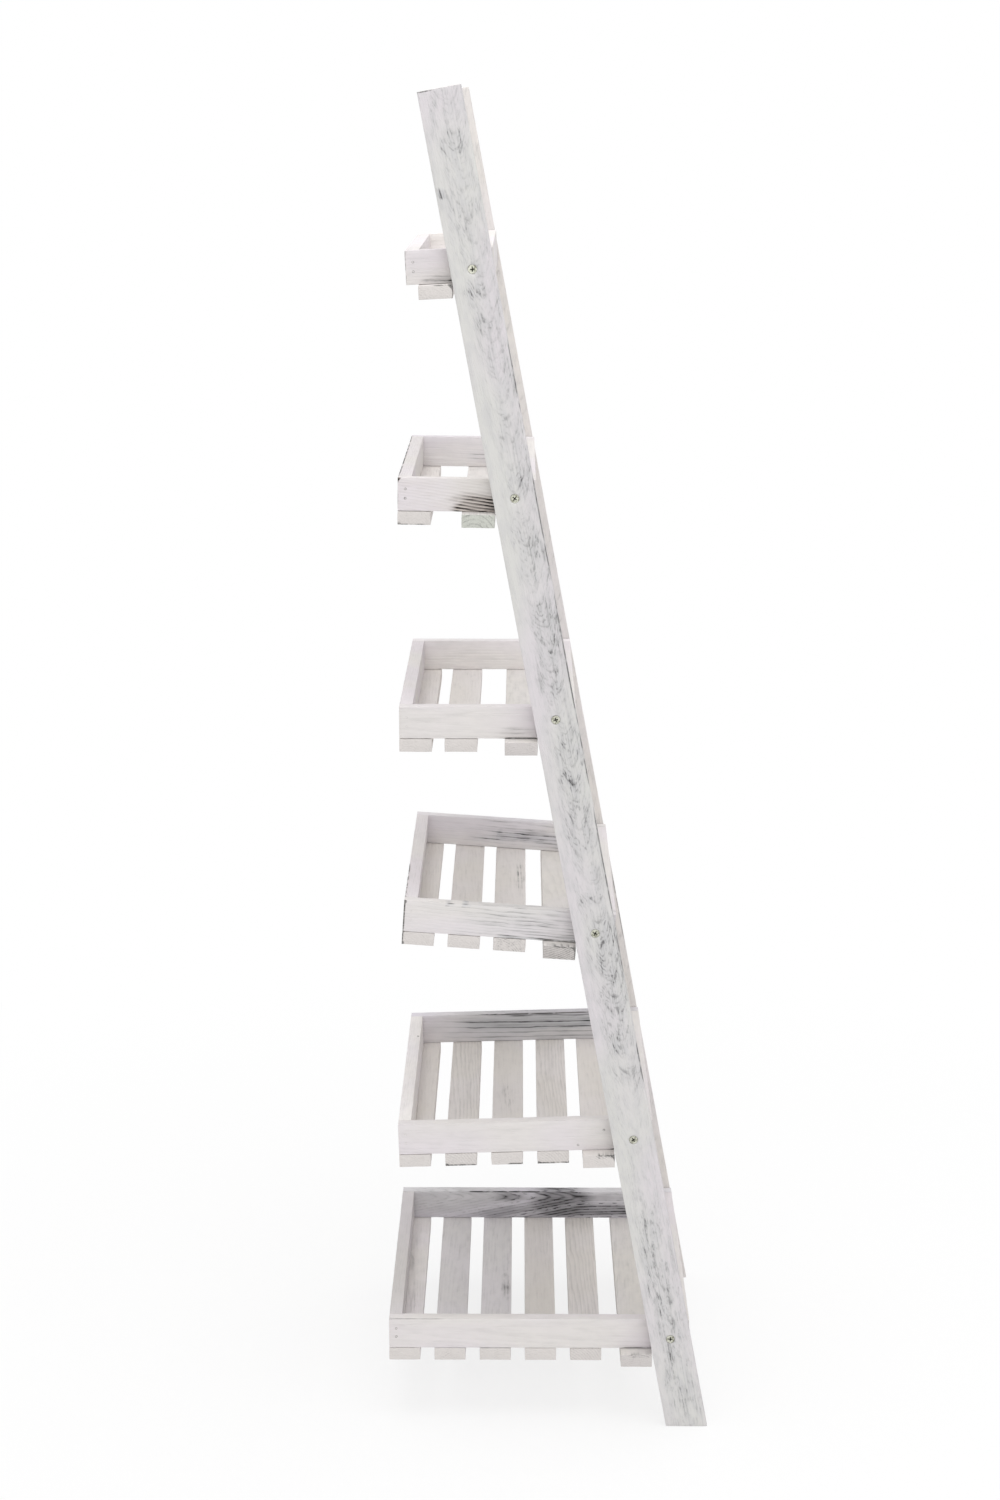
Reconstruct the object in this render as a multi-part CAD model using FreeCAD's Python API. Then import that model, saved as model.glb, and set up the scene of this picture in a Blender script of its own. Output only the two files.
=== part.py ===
import FreeCAD, Part
import math
import os
from collections import namedtuple

# Leaning step shelf. Two rails lean back to the wall and carry six open trays, the shallowest at the top.
# A tray is four boards round a floor of slats. It turns on one screw a side, and its foremost slat runs on
# behind both rails, so that the tray's weight presses that slat on the rails and keeps the tray level.
# Millimetres. X runs across the shelf, the front faces -Y, the wall is at +Y and Z is up.
# The origin is on the floor, in the middle of the footprint.

# Rails: level foot, square head
LEAN = 10.5           # degrees back from upright
RAIL_WIDTH = 50.0     # seen from the side, square to the lean
RAIL_THICK = 18.0
RAIL_HEAD = 200.0     # rail above the top pivot, along the rail

# Pivots, on the rails' centre lines
PIVOT_PITCH = 261.0   # along the rail
PIVOT_RISE = 114.5    # lowest pivot above the floor

# Tray stock
TRAY_WIDTH = 428.0    # across the outer faces of the end boards
BOARD_HEIGHT = 38.5
BOARD_THICK = 16.0
SLAT_WIDTH = 38.5
SLAT_THICK = 16.0
FRONT_REACH = 24.0    # front face ahead of the pivot
EDGE_EASE = 1.0       # bevel on the long edges of every board

# Rear face of each tray behind its pivot, from the top tray down
REAR_1 = 75.5
REAR_2 = 134.0
REAR_3 = 182.0
REAR_4 = 227.0
REAR_5 = 282.0
REAR_6 = 343.0

# Pivot below the tray's top edge
DROP = 20.0
TOP_TRAY_DROP = 23.5
THIRD_TRAY_DROP = 12.0
LOW_TRAY_DROP = 18.0

# Trays from the top down: floor slats, rear face, pivot drop, the gap behind the stop slat over the other
# gaps, and how far the rear is seated above level, in degrees
Tray = namedtuple("Tray", "slats rear drop lead seat")
TRAYS = (
    Tray(1, REAR_1, TOP_TRAY_DROP, 1.0, -3.0),
    Tray(2, REAR_2, DROP, 1.0, 0.8),
    Tray(3, REAR_3, THIRD_TRAY_DROP, 2.2, 0.0),
    Tray(4, REAR_4, DROP, 1.3, 3.9),
    Tray(5, REAR_5, DROP, 0.95, -1.7),
    Tray(6, REAR_6, LOW_TRAY_DROP, 1.35, 0.0),
)

# Pivot screws: countersunk, cross recess
SCREW_LENGTH = 32.0
SHANK_R = 2.5
HEAD_R = 5.0          # the head's cone runs in at 45 degrees
TIP_LENGTH = 5.0
RECESS_SPAN = 5.4
RECESS_SLOT = 1.3
RECESS_DEPTH = 2.2
RECESS_TURN = 37.0    # each tray's screws stop at another angle

# Fits
SIDE_GAP = 0.5        # end board to rail
STOP_GAP = 0.3        # stop slat to rail
HEAD_SINK = 0.9       # screw head below the rail's face
SEAT_GAP = 0.15       # round the screw head
PIVOT_FIT = 0.08      # round the shank in the rail

V = FreeCAD.Vector
X = V(1, 0, 0)
lean = math.radians(LEAN)
along_rail = V(0, math.sin(lean), math.cos(lean))
across_rail = V(0, math.cos(lean), -math.sin(lean))
half_width = TRAY_WIDTH / 2 + SIDE_GAP + RAIL_THICK
foot_reach = PIVOT_RISE * math.tan(lean) + RAIL_WIDTH / 2 / math.cos(lean)
low_pivot = V(0, (foot_reach - TRAYS[-1].rear) / 2, PIVOT_RISE)


def pivot(level):
    """Centre of a tray's pivot line; level 0 is the top tray."""
    return low_pivot + along_rail * (PIVOT_PITCH * (len(TRAYS) - 1 - level))


def eased(shape, direction):
    """Bevel the edges of a board that run along its length."""
    edges = [e for e in shape.Edges if abs(e.tangentAt(e.FirstParameter).dot(direction)) > 0.999]
    return shape.makeChamfer(EDGE_EASE, edges)


def board(low, high, direction):
    """Straight board between two opposite corners, bevelled along one direction."""
    size = high - low
    return eased(Part.makeBox(size.x, size.y, size.z, low), direction)


def turned(profile):
    """Solid of revolution about X through (x, radius) points that start and end on the axis."""
    points = [V(x, 0, r) for x, r in profile]
    return Part.Face(Part.makePolygon(points + points[:1])).revolve(V(), X, 360)


def on_side(shape, side):
    """Carry a piece drawn inwards from X = 0 to the outer face of a rail; side is -1 or 1."""
    moved = shape.translated(V(-half_width, 0, 0))
    return moved if side < 0 else moved.mirror(V(), X)


def screw(level):
    """Pivot screw drawn inwards from the rail's outer face, its tip in the end board."""
    end = HEAD_SINK + SCREW_LENGTH
    body = turned([(HEAD_SINK, 0), (HEAD_SINK, HEAD_R), (HEAD_SINK + HEAD_R - SHANK_R, SHANK_R),
                   (end - TIP_LENGTH, SHANK_R), (end, 0)])
    for quarter in (0, 90):
        slot = Part.makeBox(RECESS_DEPTH, RECESS_SPAN, RECESS_SLOT,
                            V(HEAD_SINK, -RECESS_SPAN / 2, -RECESS_SLOT / 2))
        slot.rotate(V(), X, quarter + RECESS_TURN * level)
        body = body.cut(slot)
    return body


def screw_seat():
    """Countersink and running hole for a pivot screw, drawn inwards from the rail's outer face."""
    mouth_r = HEAD_R + HEAD_SINK + SEAT_GAP
    hole_r = SHANK_R + PIVOT_FIT
    past = HEAD_R
    return turned([(-past, 0), (-past, mouth_r + past), (mouth_r - hole_r, hole_r),
                   (RAIL_THICK + past, hole_r), (RAIL_THICK + past, 0)])


def pilot_hole():
    """Hole drilled in the end board to the screw's tip, drawn inwards from the rail's outer face."""
    return Part.makeCylinder(SHANK_R, HEAD_SINK + SCREW_LENGTH - RAIL_THICK, V(RAIL_THICK, 0, 0), X)


def rail(side):
    """Leaning rail: level foot, square head, bevelled edges and a screw seat at every pivot."""
    head = pivot(0) + along_rail * RAIL_HEAD
    edges = [across_rail * (RAIL_WIDTH / 2 * s) for s in (-1, 1)]
    tops = [head + e for e in edges]
    feet = [t - along_rail * (t.z / along_rail.z) for t in tops]
    outline = Part.makePolygon([feet[0], feet[1], tops[1], tops[0], feet[0]])
    body = eased(Part.Face(outline).extrude(X * RAIL_THICK), along_rail)
    seats = [screw_seat().translated(pivot(level)) for level in range(len(TRAYS))]
    return on_side(body.cut(seats), side)


def stop_edge(tray):
    """Front edge of the stop slat behind the pivot, where its eased corner meets the leaning rail."""
    angle = lean + math.radians(tray.seat)
    below = BOARD_HEIGHT - tray.drop + EDGE_EASE
    return (RAIL_WIDTH / 2 + STOP_GAP - below * math.sin(angle)) / math.cos(angle)


def tray_pieces(level, tray):
    """Named solids of one tray, drawn level about its pivot."""
    top = tray.drop
    bottom = top - BOARD_HEIGHT
    end_in = TRAY_WIDTH / 2 - BOARD_THICK
    pieces = {}
    screws = []
    for name, side in (("left", -1), ("right", 1)):
        xs = sorted((side * end_in, side * TRAY_WIDTH / 2))
        end = board(V(xs[0], -FRONT_REACH, bottom), V(xs[1], tray.rear, top), V(0, 1, 0))
        screws.append(on_side(screw(level), side))
        pieces[name + "_end"] = end.cut(on_side(pilot_hole(), side))
    for name, back in (("front_board", BOARD_THICK - FRONT_REACH), ("rear_board", tray.rear)):
        pieces[name] = board(V(-end_in, back - BOARD_THICK, bottom), V(end_in, back, top), X)

    def slat(rear, length):
        return board(V(-length / 2, rear - SLAT_WIDTH, bottom - SLAT_THICK), V(length / 2, rear, bottom), X)

    open_floor = tray.rear - stop_edge(tray) - tray.slats * SLAT_WIDTH
    gap = open_floor / sum([1.0] * (tray.slats - 2) + [tray.lead])
    for n in range(tray.slats - 1):
        pieces["slat_%d" % (n + 1)] = slat(tray.rear - n * (SLAT_WIDTH + gap), TRAY_WIDTH)
    pieces["stop_slat"] = slat(stop_edge(tray) + SLAT_WIDTH, 2 * half_width)
    pieces["pivot_screws"] = Part.makeCompound(screws)
    return pieces


def seated(shape, level, tray):
    """Turn a tray's piece to its seat and carry it to its pivot."""
    moved = shape.copy()
    moved.rotate(V(), X, tray.seat)
    return moved.translated(pivot(level))


os.makedirs("parts", exist_ok=True)
nodes = {"left_rail": rail(-1), "right_rail": rail(1)}
for level, tray in enumerate(TRAYS):
    for name, shape in tray_pieces(level, tray).items():
        nodes["tray_%d_%s" % (level + 1, name)] = seated(shape, level, tray)
for name, shape in nodes.items():
    shape.exportStep("parts/%s.step" % name)
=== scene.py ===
"""Leaning step shelf in whitewashed softwood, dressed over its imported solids.

Two rails lean back to the wall and carry six open trays. Every board is cut, eased and divided on a bench,
where it lies along X with its width along Y and its thickness along Z. There it also gets the marks that its
finish reads: where each point lies in the grain, how thin the paint is and where the arrises are worn. It is
then carried to its place. Lengths are in metres. X runs across the shelf, the front faces -Y, the wall is at
+Y and Z is up.
"""

from __future__ import annotations

import logging
import math
from collections.abc import Callable, Iterable, Mapping
from dataclasses import dataclass, field, replace
from enum import Enum

import bpy
from mathutils import Matrix, Vector

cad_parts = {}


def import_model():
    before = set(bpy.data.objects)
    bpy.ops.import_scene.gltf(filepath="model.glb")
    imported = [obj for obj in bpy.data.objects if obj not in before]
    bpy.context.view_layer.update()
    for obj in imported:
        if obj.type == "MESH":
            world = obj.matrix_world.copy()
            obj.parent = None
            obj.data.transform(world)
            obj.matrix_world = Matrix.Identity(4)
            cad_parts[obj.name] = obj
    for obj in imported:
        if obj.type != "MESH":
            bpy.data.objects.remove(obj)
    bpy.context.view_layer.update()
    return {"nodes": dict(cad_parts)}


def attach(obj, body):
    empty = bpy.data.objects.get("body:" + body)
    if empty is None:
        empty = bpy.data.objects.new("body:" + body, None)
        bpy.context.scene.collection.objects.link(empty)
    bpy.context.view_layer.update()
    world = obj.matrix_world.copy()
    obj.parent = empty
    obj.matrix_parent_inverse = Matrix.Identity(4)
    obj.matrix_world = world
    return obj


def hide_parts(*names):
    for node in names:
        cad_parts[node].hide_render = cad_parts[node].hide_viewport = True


log = logging.getLogger("step_shelf")

Tone = tuple[int, int, int]
Triple = tuple[float, float, float]
Curve = tuple[tuple[float, float], ...]
Socket = bpy.types.NodeSocket
Piece = bpy.types.Object


def linear(tone: Tone) -> tuple[float, float, float, float]:
    """Turn a paint chart tone of 0 to 255 into the linear colour that a shader takes.

    Args:
        tone: Red, green and blue as a paint chart gives them.

    Returns:
        Linear red, green and blue, and an alpha of 1.
    """
    parts = [c / 255 for c in tone]
    red, green, blue = (c / 12.92 if c <= 0.04045 else ((c + 0.055) / 1.055) ** 2.4 for c in parts)
    return red, green, blue, 1.0


# Least share of a face's normal that points along an axis, for a face that looks that way
FACING = 0.9


class Kind(Enum):
    """What is picked on a mesh."""

    EDGES = "EDGE"
    FACES = "FACE"


def activate(*pieces: Piece) -> None:
    """Deselect everything, then select some pieces and make the first of them active.

    Args:
        pieces: The pieces to work on.
    """
    bpy.ops.object.select_all(action="DESELECT")
    for piece in pieces:
        piece.select_set(True)
    bpy.context.view_layer.objects.active = pieces[0]


def pick(piece: Piece, kind: Kind, test: Callable[[Vector, Vector], bool]) -> None:
    """Go into edit mode with only the edges or faces selected that pass a test.

    Args:
        piece: The piece to work on.
        kind: Whether edges or faces are picked.
        test: Takes an edge's two ends, or a face's centre and normal, and says whether it is selected.
    """
    activate(piece)
    mesh = piece.data
    bpy.ops.object.mode_set(mode="EDIT")
    bpy.ops.mesh.select_mode(type=kind.value)
    bpy.ops.mesh.select_all(action="DESELECT")
    bpy.ops.object.mode_set(mode="OBJECT")
    if kind is Kind.EDGES:
        for edge in mesh.edges:
            edge.select = test(*(mesh.vertices[i].co for i in edge.vertices))
    else:
        for face in mesh.polygons:
            face.select = test(face.center, face.normal)
    bpy.ops.object.mode_set(mode="EDIT")


def carry(piece: Piece, place: Matrix) -> None:
    """Carry a piece to its place and leave its object at the origin.

    Args:
        piece: The piece to carry.
        place: The place it goes to.
    """
    activate(piece)
    piece.matrix_world = place
    bpy.ops.object.transform_apply(location=True, rotation=True, scale=True)


def copy_of(piece: Piece, name: str) -> Piece:
    """Copy a piece with a mesh of its own.

    Args:
        piece: The piece to copy.
        name: The copy's name.

    Returns:
        The copy, in the scene.
    """
    copy = piece.copy()
    copy.data = piece.data.copy()
    copy.name = copy.data.name = name
    bpy.context.scene.collection.objects.link(copy)
    return copy


class Mark(Enum):
    """What a board carries at each point for its finish to read."""

    GRAIN = "grain"
    CLIMB = "climb"
    BARE = "bare"
    ARRIS = "arris"
    BUTT = "butt"


@dataclass(frozen=True)
class Waves:
    """A noise, and the span of it that is spread from 0 to 1."""

    scale: Triple  # waves per metre in each direction
    octaves: float
    low: float = 0.0  # what becomes 0
    high: float = 1.0  # what becomes 1
    roughness: float = 0.55  # strength of each octave over the one before


class NodeSheet:
    """Node sheet of a material or the world, filled in from the coordinates to the surface."""

    def __init__(self, owner: bpy.types.Material | bpy.types.World) -> None:
        """Start an empty sheet.

        Args:
            owner: The material or the world that the sheet belongs to.
        """
        owner.use_nodes = True
        self.owner = owner
        self.tree = owner.node_tree
        self.tree.nodes.clear()

    def feed(self, socket: Socket, value: object) -> None:
        """Link a socket to another one, or set its value.

        Args:
            socket: The input socket.
            value: An output socket, a number or a tuple of numbers.
        """
        if isinstance(value, Socket):
            self.tree.links.new(value, socket)
        else:
            socket.default_value = value

    def add(self, kind: str, inputs: Mapping[str | int, object]) -> bpy.types.Node:
        """Add a node and feed its inputs.

        Args:
            kind: The kind of shader node.
            inputs: Sockets or values by the name or the number of the input that they go to.

        Returns:
            The node.
        """
        node = self.tree.nodes.new("ShaderNode" + kind)
        for key, value in inputs.items():
            self.feed(node.inputs[key], value)
        return node

    def attribute(self, mark: Mark, output: str = "Fac") -> Socket:
        """Read one of the marks that a board carries.

        Args:
            mark: The mark.
            output: Vector or Fac.

        Returns:
            The mark's socket.
        """
        node = self.add("Attribute", {})
        node.attribute_name = mark.value
        return node.outputs[output]

    def place(self) -> Socket:
        """Read the place on the shelf."""
        return self.add("TexCoord", {}).outputs["Object"]

    def math(self, operation: str, *values: object, clamp: bool = False) -> Socket:
        """Add a sum on numbers.

        Args:
            operation: The operation's name.
            values: Its numbers or sockets.
            clamp: Whether the result stays between 0 and 1.

        Returns:
            The result.
        """
        node = self.add("Math", dict(enumerate(values)))
        node.operation = operation
        node.use_clamp = clamp
        return node.outputs[0]

    def vector(self, operation: str, *values: object) -> Socket:
        """Add a sum on vectors.

        Args:
            operation: The operation's name.
            values: Its vectors or sockets.

        Returns:
            The result, a number for LENGTH and a vector otherwise.
        """
        node = self.add("VectorMath", dict(enumerate(values)))
        node.operation = operation
        return node.outputs["Value" if operation == "LENGTH" else "Vector"]

    def split(self, value: Socket) -> list[Socket]:
        """Split a vector into its three numbers."""
        return list(self.add("SeparateXYZ", {0: value}).outputs)

    def joined(self, *values: object) -> Socket:
        """Join three numbers into a vector."""
        return self.add("CombineXYZ", dict(enumerate(values))).outputs[0]

    def noise(self, place: Socket, waves: Waves) -> Socket:
        """Add a noise with its own scale in each direction.

        Args:
            place: Where it is read.
            waves: Its scale and octaves.

        Returns:
            The noise, mostly between 0.3 and 0.7.
        """
        scaled = self.vector("MULTIPLY", place, waves.scale)
        node = self.add("TexNoise", {"Vector": scaled, "Scale": 1.0, "Detail": waves.octaves,
                                     "Roughness": waves.roughness})
        return node.outputs[0]

    def spread(self, value: Socket, low: float, high: float) -> Socket:
        """Spread a range of a number smoothly from 0 to 1.

        Args:
            value: The number.
            low: What becomes 0.
            high: What becomes 1.

        Returns:
            The spread number.
        """
        node = self.add("MapRange", {"Value": value, "From Min": low, "From Max": high})
        node.interpolation_type = "SMOOTHSTEP"
        return node.outputs[0]

    def patches(self, place: Socket, waves: Waves) -> Socket:
        """Add a noise that is spread from 0 to 1."""
        return self.spread(self.noise(place, waves), waves.low, waves.high)

    def ramp(self, value: Socket, stops: Curve) -> Socket:
        """Run a number through a curve of straight stretches.

        Args:
            value: The number, from 0 to 1.
            stops: Places and the values there.

        Returns:
            The curve's value.
        """
        node = self.add("ValToRGB", {0: value})
        elements = node.color_ramp.elements
        while len(elements) < len(stops):
            elements.new(0.5)
        for element, (place, level) in zip(elements, stops):
            element.position = place
            element.color = (level, level, level, 1.0)
        return node.outputs[0]

    def mix(self, factor: object, first: object, second: object) -> Socket:
        """Mix two colours.

        Args:
            factor: Share of the second colour.
            first: The first colour.
            second: The second colour.

        Returns:
            The mixed colour.
        """
        node = self.add("Mix", {"Factor": factor})
        node.data_type = "RGBA"
        colours = [s for s in node.inputs if s.type == "RGBA"]
        self.feed(colours[0], first)
        self.feed(colours[1], second)
        return next(s for s in node.outputs if s.type == "RGBA")

    def surface(self, colour: Socket, roughness: Socket, height: Socket, depth: float,
                metallic: float, specular: float) -> bpy.types.Material:
        """Close the sheet with one surface shader.

        Args:
            colour: Colour of the surface.
            roughness: Roughness of the surface.
            height: Relief from 0 to 1.
            depth: Depth of the relief in metres.
            metallic: 1 for bare metal.
            specular: Strength of the gloss.

        Returns:
            The finished material.
        """
        bump = self.add("Bump", {"Strength": 1.0, "Distance": depth, "Height": height})
        shader = self.add("BsdfPrincipled", {
            "Base Color": colour, "Roughness": roughness, "Metallic": metallic,
            "Specular IOR Level": specular, "Normal": bump.outputs[0]})
        return self.close("OutputMaterial", shader)

    def close(self, kind: str, shader: bpy.types.Node) -> bpy.types.Material | bpy.types.World:
        """Close the sheet with an output node, and give the material or the world that it belongs to."""
        self.add(kind, {"Surface": shader.outputs[0]})
        return self.owner


@dataclass(frozen=True)
class Finish:
    """A finish that is mixed at its first use and shared by all its pieces."""

    name: str

    def mixed(self, sheet: NodeSheet) -> bpy.types.Material:
        """Mix the finish on its node sheet."""
        raise NotImplementedError

    def coat(self, piece: Piece) -> None:
        """Give a piece this finish and no other.

        Args:
            piece: The piece.
        """
        known = bpy.data.materials.get(self.name)
        piece.data.materials.clear()
        piece.data.materials.append(known or self.mixed(NodeSheet(bpy.data.materials.new(self.name))))


# Noises of the whitewash, along, across and through the grain
STRAYS = Waves((17, 46, 46), 2.0)
RIPPLES = Waves((80, 140, 140), 2.0)
SWAYS = Waves((3.1, 0, 0), 1.0)
TEARS = Waves((120, 260, 260), 2.0, 0.44, 0.6)
STREAKS = Waves((16, 560, 560), 3.0, 0.42, 0.72)
FLECKS = Waves((130, 420, 420), 2.0, 0.57, 0.66)
MOTTLES = Waves((38, 110, 110), 4.0, 0.34, 0.68)
CLOUDS = Waves((6, 14, 14), 1.0, 0.36, 0.64)
RUBS = Waves((60, 120, 120), 3.0, 0.3, 0.52)

# Darkness from one fine line to the next
HAIRLINE: Curve = ((0.0, 0.3), (0.15, 0.0), (0.5, 0.0), (0.75, 1.0), (0.9, 1.0), (1.0, 0.3))


@dataclass(frozen=True)
class Whitewash(Finish):
    """Chalk paint wiped thinly over softwood, so that the growth rings and the fibres grin through.

    The rings lie round a heart that runs along the board. They climb along it too, which draws the flat-sawn
    figure: close scallops where they climb fast, long flames where they climb slowly.
    """

    chalk: Tone = (221, 215, 218)  # thick paint
    cream: Tone = (221, 217, 214)  # thick paint in its yellower clouds
    veil: Tone = (206, 203, 202)  # paint that is wiped thin
    bare: Tone = (74, 73, 73)  # wood in the late part of the rings
    pale_bare: Tone = (138, 136, 133)  # wood between them
    butt: Tone = (214, 209, 206)  # paint on the end grain
    ring: float = 0.0026  # distance from one ring to the next
    rise: float = 0.02  # how far the rings climb per metre
    heart: tuple[float, float] = (0.004, 0.024)  # place of the heart across and through the board
    wander: float = 0.003  # how far the rings stray in long waves
    ripple: float = 0.0004  # how far they ripple in short waves
    soft: float = 0.45  # share of a ring that is early wood
    edge: float = 0.84  # share of a ring after which it is darkest
    broken: float = 0.3  # how much the rings are broken into dashes
    show: float = 0.04  # how much grain shows where no patch is set
    fibre: float = 0.6  # strength of the fine fibres
    fleck: float = 0.0  # strength of the short flecks
    mottle: float = 0.2  # how unevenly the paint is wiped
    sway: float = 0.006  # how far the heart sways along the board
    dash: Triple = (32.0, 85.0, 85.0)  # dashes per metre along, across and through the board
    hair: float = 0.0  # strength of the fine lines among the rings
    hairs: float = 3.0  # fine lines to a ring
    comb: float = 0.0  # how much the fine lines comb out the rings
    worn: float = 1.1  # how unevenly the grain shows
    openness: float = 0.85  # how much of the grain shows on average in a patch
    rub: tuple[float, float] = (0.55, 0.8)  # arris marks where the paint begins to go, and has gone
    wipe: float = 0.9  # how thin the paint is in a patch
    streak_relief: float = -0.5  # height of the fibres
    ring_relief: float = -0.35  # height of the late wood
    mottle_relief: float = 0.45  # height of the wiped paint
    depth: float = 0.00035  # depth of the whole relief
    roughness: float = 0.66  # roughness of the paint
    bare_roughness: float = 0.18  # what bare wood adds to it
    gloss: float = 0.3  # strength of the gloss

    def late_wood(self, sheet: NodeSheet, grain: Socket) -> Socket:
        """Draw the dark late wood of the growth rings.

        Args:
            sheet: The finish's node sheet.
            grain: Where a point lies in the grain.

        Returns:
            1 in the late wood and 0 in the early wood.
        """
        _, across, through = sheet.split(grain)
        stray = sheet.math("MULTIPLY_ADD", sheet.noise(grain, STRAYS), self.wander, -self.wander / 2)
        ripple = sheet.math("MULTIPLY_ADD", sheet.noise(grain, RIPPLES), self.ripple, stray)
        sway = sheet.math("MULTIPLY_ADD", sheet.noise(grain, SWAYS), self.sway * 2, self.heart[0] - self.sway)
        aside = sheet.math("SUBTRACT", across, sway)
        below = sheet.math("SUBTRACT", through, self.heart[1])
        radius = sheet.math("ADD", sheet.vector("LENGTH", sheet.joined(0.0, aside, below)), ripple)
        climb = sheet.math("MULTIPLY_ADD", sheet.attribute(Mark.CLIMB), self.rise, radius)
        turns = sheet.math("DIVIDE", climb, self.ring)
        shade = ((0.0, 0.3), (0.1, 0.0), (self.soft, 0.06), (self.edge, 1.0), (0.94, 1.0), (1.0, 0.3))
        ring = sheet.ramp(sheet.math("FRACT", turns), shade)
        dashes = sheet.patches(grain, Waves(self.dash, 3.0, 0.42, 0.60))
        left = sheet.math("MULTIPLY_ADD", dashes, self.broken, 1.0 - self.broken)
        late = sheet.math("MULTIPLY", ring, left)
        if not self.hair:
            return late
        hairline = sheet.ramp(sheet.math("FRACT", sheet.math("MULTIPLY", turns, self.hairs)), HAIRLINE)
        torn = sheet.math("MULTIPLY", hairline, sheet.patches(grain, TEARS))
        comb = sheet.math("MULTIPLY_ADD", hairline, self.comb, 1.0 - self.comb)
        combed = sheet.math("MULTIPLY", late, comb)
        return sheet.math("MAXIMUM", combed, sheet.math("MULTIPLY", torn, self.hair))

    def mixed(self, sheet: NodeSheet) -> bpy.types.Material:
        """Mix the finish.

        Args:
            sheet: Its empty node sheet.

        Returns:
            A material that reads a board's marks.
        """
        grain = sheet.attribute(Mark.GRAIN, "Vector")
        thin = sheet.attribute(Mark.BARE)
        late = self.late_wood(sheet, grain)
        streak = sheet.patches(grain, STREAKS)
        mottle = sheet.patches(grain, MOTTLES)

        flecked = sheet.math("MULTIPLY_ADD", sheet.patches(grain, FLECKS), self.fleck, late)
        lines = sheet.math("MULTIPLY_ADD", streak, self.fibre, flecked)
        uneven = sheet.math("MULTIPLY_ADD", mottle, self.worn, self.openness - self.worn / 2)
        grinning = sheet.math("MULTIPLY", sheet.math("ADD", thin, self.show, clamp=True), uneven)
        rub = sheet.spread(sheet.attribute(Mark.ARRIS), *self.rub)
        gone = sheet.math("MULTIPLY", rub, sheet.patches(grain, RUBS))
        shows = sheet.math("MAXIMUM", sheet.math("MULTIPLY", grinning, lines, clamp=True), gone)

        wipe = sheet.math("MULTIPLY", thin, self.wipe)
        wiped = sheet.math("MULTIPLY_ADD", mottle, self.mottle, wipe, clamp=True)
        thick = sheet.mix(sheet.patches(grain, CLOUDS), linear(self.chalk), linear(self.cream))
        face = sheet.mix(wiped, thick, linear(self.veil))
        paint = sheet.mix(sheet.attribute(Mark.BUTT), face, linear(self.butt))
        timber = sheet.mix(sheet.math("MAXIMUM", streak, late), linear(self.pale_bare), linear(self.bare))
        colour = sheet.mix(shows, paint, timber)

        furrow = sheet.math("MULTIPLY", late, self.ring_relief)
        hollow = sheet.math("MULTIPLY_ADD", streak, self.streak_relief, furrow)
        relief = sheet.math("MULTIPLY_ADD", mottle, self.mottle_relief, hollow)
        roughness = sheet.math("MULTIPLY_ADD", shows, self.bare_roughness, self.roughness)
        return sheet.surface(colour, roughness, relief, self.depth, 0.0, self.gloss)


# Noises of the zinc plate, along the shelf's own directions
DULL_PATCHES = Waves((420, 420, 420), 3.0, 0.38, 0.66)
SCRATCHES = Waves((900, 2600, 2600), 2.0)


@dataclass(frozen=True)
class Zinc(Finish):
    """Zinc-plated steel that has dulled in patches, with painted shade down in its recess or a daub of paint
    over it.
    """

    bright: Tone = (208, 208, 195)
    dull: Tone = (142, 142, 126)
    recess_shade: Tone = (46, 46, 40)  # painted shade down in the recess
    roughness: float = 0.28  # roughness of bright plate
    dull_roughness: float = 0.22  # what dulling adds to it
    metal: float = 1.0  # 1 for bare metal and 0 for paint
    unshaded_from: float = 0.0  # distance from the middle of the shelf beyond which no shade is painted
    recess_shade_fade: float = 0.0012  # depth over which the painted shade sets in
    depth: float = 0.00006  # depth of the scratches
    gloss: float = 0.5  # strength of the gloss

    def mixed(self, sheet: NodeSheet) -> bpy.types.Material:
        """Mix the finish.

        Args:
            sheet: Its empty node sheet.

        Returns:
            A metal that reads its place on the shelf.
        """
        place = sheet.place()
        patch = sheet.patches(place, DULL_PATCHES)
        plate = sheet.mix(patch, linear(self.bright), linear(self.dull))
        # Painted shade: the plate turns dark down in the screw recess, towards the middle of the shelf
        out = sheet.math("ABSOLUTE", sheet.split(place)[0])
        unshaded = sheet.spread(out, self.unshaded_from - self.recess_shade_fade, self.unshaded_from)
        colour = sheet.mix(unshaded, linear(self.recess_shade), plate)
        roughness = sheet.math("MULTIPLY_ADD", patch, self.dull_roughness, self.roughness)
        scratch = sheet.noise(place, SCRATCHES)
        return sheet.surface(colour, roughness, scratch, self.depth, self.metal, self.gloss)


RAIL_WASH = Whitewash(
    "rail_whitewash", chalk=(215, 210, 213), cream=(212, 211, 208), veil=(200, 199, 200), bare=(96, 95, 96),
    pale_bare=(152, 150, 149), ring=0.0038, rise=-0.16, heart=(0.006, 0.014), wander=0.006, ripple=0.0024,
    soft=0.68, broken=0.86, show=0.20, fibre=0.58, fleck=0.6, mottle=0.65, sway=0.008,
    dash=(120.0, 190.0, 190.0), hair=0.75)
FAR_RAIL_WASH = replace(
    RAIL_WASH, name="far_rail_whitewash", chalk=(220, 215, 215), cream=(221, 216, 212), veil=(210, 207, 205),
    bare=(112, 111, 111), pale_bare=(160, 158, 156), heart=(0.012, 0.014), ripple=0.0022, soft=0.70,
    broken=0.8, show=0.15, fibre=0.6, fleck=0.5, mottle=0.5, dash=(95.0, 150.0, 150.0), hair=0.6)
END_WASH = Whitewash("end_board_whitewash")
# Darker copy of the end-board wash: painted shade on the lowest tray's rear board
SHADED_WASH = Whitewash("shaded_whitewash", chalk=(209, 204, 206), cream=(208, 204, 202), veil=(196, 193, 193))
# Paler copy of the end-board wash, for boards inside the trays: partly a whiter paint, partly painted light
# that lifts their shade
LIGHTENED_WASH = Whitewash("lightened_inner_whitewash", chalk=(235, 230, 232), cream=(235, 231, 228))
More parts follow.
